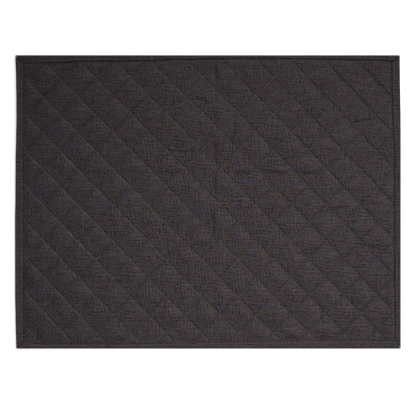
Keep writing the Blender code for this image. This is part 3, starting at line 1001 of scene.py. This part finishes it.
YARN_PITCH = 0.00089
YARN_WANDER = 0.0016
YARN_WANDER_RUN = 0.016
YARN_RUN = 0.020
YARN_APART = 7.37  # how far apart two yarns' shades are read
WARP_CONTRAST = 1.15
WEFT_CONTRAST = 2.0
WEAVE_CONTRAST = 0.6
SPECKLE_CONTRAST = 0.95
CROSSING_SHARPNESS = 3.0
SHADE_LIFT = 0.60
DARKEST = 0.12
SWELL_PITCH = 0.00384  # about every fourth yarn is a paler one
SWELL_SHARE = 0.24
BARS_LEAN = 0.16
BARS_BOW = 0.72  # how far the bars are carried along over a puff, in radians
STREAKS_LEAN = 0.08
STREAKS_BOW = 2.4
SWELL_DRIFT = 9.0  # and how far both stray anyway
DRIFT_SIZE = (0.014, 0.014, 0.014)
PATCH_SIZE = (0.016, 0.016, 0.016)
PATCH_START = 0.30
PATCH_CONTRAST = 3.6
WEAVE_RELIEF = 0.00025
CLOTH_COLOUR = (0.0466, 0.0372, 0.0413)
FLECK_SIZE = (0.0075, 0.0064, 0.03)
# How far red, green and blue swing in a warm fleck and in a greenish one, as a share of themselves,
# and how much further they swing in the middle of the mat
WARM_FLECK = ((0.56, 0.06, -0.86), 0.90)
GREEN_FLECK = ((-0.18, 0.66, -0.18), 0.30)
THREAD_COLOURS = ((0.026, 0.021, 0.023), (0.072, 0.061, 0.066), (0.150, 0.133, 0.140))  # dark to pale, paler where worn and where a highlight is painted
THREAD_FLECK_SIZE = (0.0012, 0.0012, 0.0012)
TWIST_PITCH = (0.00035, 0.00035, 0.00035)


def flecked_colour(nodes):
    """The cloth's colour, which swings between warm and cool and a little towards green."""
    fleck = nodes.noise(nodes.stretched(FLECK_SIZE), 2.0, 0.75)["Color"]
    swing = nodes.split(nodes.vector("SUBTRACT", {0: fleck, 1: (0.5, 0.5, 0.5)}))
    warm = nodes.plus(swing["X"], nodes.attribute("warmth"))
    shimmer = nodes.attribute("shimmer")
    colour = CLOTH_COLOUR
    for amount, (shares, further) in ((warm, WARM_FLECK), (swing["Y"], GREEN_FLECK)):
        strength = nodes.plus(1.0, nodes.times(shimmer, further))
        change = [part * share for part, share in zip(CLOTH_COLOUR, shares)]
        inputs = {0: nodes.times(amount, strength), 1: change, 2: colour}
        colour = nodes.vector("MULTIPLY_ADD", inputs)
    return colour


def wandering(nodes):
    """Places across and along the mat that wander a little, as yarns do."""
    where = nodes.where()
    stray = nodes.noise(where, 3.0, 0.55, 1 / YARN_WANDER_RUN)["Color"]
    parts = nodes.split(nodes.vector("MULTIPLY_ADD", {0: stray, 1: [YARN_WANDER] * 3, 2: where}))
    return parts["X"], parts["Y"]


def yarn_number(nodes, place):
    return nodes.math("FLOOR", nodes.math("DIVIDE", place, YARN_PITCH))


def yarn_shade(nodes, across, along, seed):
    """Each yarn's own lightness, changing slowly along it, about 0."""
    number = nodes.times(yarn_number(nodes, across), YARN_APART)
    inputs = {"X": number, "Y": nodes.math("DIVIDE", along, YARN_RUN), "Z": seed}
    place = nodes.add("ShaderNodeCombineXYZ", inputs).outputs["Vector"]
    return nodes.less(nodes.noise(place, 1.0, 0.6)["Fac"], 0.5)


def crossing_shade(nodes, across, along):
    """The own lightness of each short stretch of yarn between two crossings, about 0."""
    inputs = {"X": yarn_number(nodes, across), "Y": yarn_number(nodes, along)}
    place = nodes.add("ShaderNodeCombineXYZ", inputs).outputs["Vector"]
    white = nodes.add("ShaderNodeTexWhiteNoise", {"Vector": place}, noise_dimensions="2D")
    return nodes.less(white.outputs["Value"], 0.5)


def woven(nodes, across, along):
    """The relief of the weave, and the lightness of the yarn that lies on top."""
    bend_x = nodes.math("SINE", nodes.times(across, math.pi / YARN_PITCH))
    bend_y = nodes.math("SINE", nodes.times(along, math.pi / YARN_PITCH))
    crossing = nodes.times(nodes.times(bend_x, bend_y), CROSSING_SHARPNESS)
    warp_on_top = nodes.clamped(nodes.plus(crossing, 0.5))
    weave = nodes.mix(warp_on_top, nodes.math("ABSOLUTE", bend_y), nodes.math("ABSOLUTE", bend_x))
    warp = nodes.times(yarn_shade(nodes, across, along, 0.3), WARP_CONTRAST)
    weft = nodes.times(yarn_shade(nodes, along, across, 5.7), WEFT_CONTRAST)
    return weave, nodes.mix(warp_on_top, weft, warp)


def paler_yarns(nodes, across, along):
    """Bars across the mat and streaks along it, where one yarn in a few is paler, in patches."""
    bow = nodes.attribute("bow")
    bow = nodes.times(bow, bow)
    check = 0.0
    for place, other, lean, carry, height, name in (
        (across, along, BARS_LEAN, BARS_BOW, 0.0, "bars"),
        (along, across, STREAKS_LEAN, STREAKS_BOW, 0.2, "streaks"),
    ):
        spread = nodes.noise(nodes.stretched(PATCH_SIZE, height), 1.0, 0.5)["Fac"]
        patch = nodes.clamped(nodes.times(nodes.less(spread, PATCH_START), PATCH_CONTRAST))
        adrift = nodes.noise(nodes.stretched(DRIFT_SIZE, height + 0.1), 1.0, 0.5)["Fac"]
        carried = nodes.plus(nodes.times(bow, carry), nodes.times(adrift, SWELL_DRIFT))
        leaning = nodes.plus(place, nodes.times(other, lean))
        turn = nodes.plus(nodes.times(leaning, 2 * math.pi / SWELL_PITCH), carried)
        wave = nodes.times(nodes.math("COSINE", turn), patch)
        check = nodes.plus(check, nodes.times(wave, nodes.attribute(name)))
    return check


def cloth_material(name):
    """Plain weave of uneven charcoal yarn, with bluish and brownish flecks."""
    nodes = Nodes(name)
    across, along = wandering(nodes)
    weave, shade = woven(nodes, across, along)
    relief = nodes.plus(weave, nodes.times(shade, 0.4))
    for part, contrast in (
        (paler_yarns(nodes, across, along), SWELL_SHARE),
        (crossing_shade(nodes, across, along), SPECKLE_CONTRAST),
        (weave, WEAVE_CONTRAST),
    ):
        shade = nodes.plus(shade, nodes.times(part, contrast))
    shade = nodes.math("MAXIMUM", nodes.plus(shade, SHADE_LIFT), DARKEST)
    # darker by the painted shade that the valley attribute carries
    shade = nodes.times(shade, nodes.less(1.0, nodes.attribute("valley")))
    return nodes.finish(
        Base_Color=nodes.vector("SCALE", {0: flecked_colour(nodes), "Scale": shade}),
        Normal=nodes.bump(relief, 0.7, WEAVE_RELIEF),
        Roughness=nodes.less(0.93, nodes.times(weave, 0.12)),
        Sheen_Weight=0.03,
        Sheen_Roughness=0.5,
        Specular_IOR_Level=0.12,
    )


def thread_material(name):
    """Sewing thread: a little lighter and shinier than the cloth, twisted."""
    nodes = Nodes(name)
    inputs = {"Vector": nodes.stretched(TWIST_PITCH), "Scale": 2 * math.pi / 20}
    twist = nodes.add("ShaderNodeTexWave", inputs, wave_type="BANDS", bands_direction="DIAGONAL")
    fleck = nodes.noise(nodes.stretched(THREAD_FLECK_SIZE), 2.0, 0.5)["Fac"]
    return nodes.finish(
        # paleness carries both wear and painted highlight
        Base_Color=nodes.tint(nodes.attribute("worn_and_lit"), THREAD_COLOURS),
        Normal=nodes.bump(twist.outputs["Fac"], 0.5, 0.0001),
        Roughness=nodes.plus(nodes.times(fleck, 0.15), 0.30),
        Specular_IOR_Level=0.6,
    )


def table_material(name):
    """A matt near-white surface that glows faintly, so that it stays pure white."""
    return Nodes(name).finish(
        Base_Color=(0.93, 0.93, 0.93, 1.0),
        Roughness=0.9,
        Specular_IOR_Level=0.1,
        Emission_Color=(1.0, 1.0, 1.0, 1.0),
        Emission_Strength=0.6,
    )


# ---- objects, light and camera -----------------------------------------------------------------
PHOTO_PIXELS = 416
PIXEL = 0.001191  # what one pixel of the photograph spans on the mat
PHOTO_MIDDLE = (207.9, 201.93)  # the mat's middle in the photograph
LENS = 110.0
SENSOR = 36.0
FLOOR_REACH = 6.0
FLOOR_HEIGHT = -0.0003


def place_object(data):
    """An object in the scene that bears its data's name."""
    thing = bpy.data.objects.new(data.name, data)
    bpy.context.scene.collection.objects.link(thing)
    return thing


def finish_piece(data, material):
    """A visible piece of the mat, carried by its one body."""
    data.materials.append(material)
    piece = place_object(data)
    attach(piece, "root")
    return piece


def soft_spot(name, place, aim, cone, power, radius):
    """A soft lamp at this place, aimed at a point on the table."""
    data = bpy.data.lights.new(name, "SPOT")
    data.energy = power
    data.spot_size = cone
    data.spot_blend = 1.0
    data.shadow_soft_size = radius
    lamp = place_object(data)
    lamp.location = place
    lamp.rotation_euler = (Vector(aim) - Vector(place)).to_track_quat("-Z", "Y").to_euler()


def build_floor():
    data = bpy.data.meshes.new("pale_table")
    ways = ((-1, -1), (1, -1), (1, 1), (-1, 1))
    points = [(FLOOR_REACH * right, FLOOR_REACH * back, FLOOR_HEIGHT) for right, back in ways]
    data.from_pydata(points, [], [(0, 1, 2, 3)])
    data.materials.append(table_material("pale_table"))
    floor = place_object(data)


def build_camera():
    """Straight above, as far off as makes one pixel of the photograph span PIXEL on the mat."""
    data = bpy.data.cameras.new("camera")
    data.lens = LENS
    data.sensor_width = SENSOR
    camera = place_object(data)
    across = (PHOTO_PIXELS / 2 - PHOTO_MIDDLE[0]) * PIXEL
    up = (PHOTO_MIDDLE[1] - PHOTO_PIXELS / 2) * PIXEL
    away = PHOTO_PIXELS * PIXEL * LENS / SENSOR
    camera.location = (across, up, BINDING_TOP + away)
    bpy.context.scene.camera = camera


def build_light():
    """A low key light from the back right, a weak fill and an even studio."""
    world = bpy.data.worlds.new("studio")
    world.use_nodes = True
    background = world.node_tree.nodes["Background"]
    background.inputs["Color"].default_value = (1.0, 1.0, 1.0, 1.0)
    background.inputs["Strength"].default_value = 0.22
    bpy.context.scene.world = world
    soft_spot(
        "key", place=(0.650, 1.020, 0.680), aim=(-0.383, -0.800, 0.0), cone=0.796, power=137.0, radius=0.25
    )
    soft_spot(
        "fill", place=(0.500, -0.300, 1.200), aim=(0.390, -0.560, 0.0), cone=1.700, power=36.5, radius=0.40
    )
    bpy.context.scene.view_settings.view_transform = "Standard"


def main():
    build_camera()
    build_light()
    build_floor()
    thread = thread_material("charcoal_thread")
    cloth = build_cloth()
    pieces = build_thread(thread)
    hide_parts("quilted_panel")
    material = cloth_material("binding_weave")
    strips = {}
    lines = []
    for number, side in enumerate(SIDE_TABLES):
        seed = 40 + 10 * number
        strips[side] = build_strip(side, seed, material)
        lines.append(strip_stitches(side, seed))
    topstitch = finish_piece(thread_mesh("binding_thread", lines, 1), thread)
    for side, strip in strips.items():
        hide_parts(f"binding_{side}")


main()
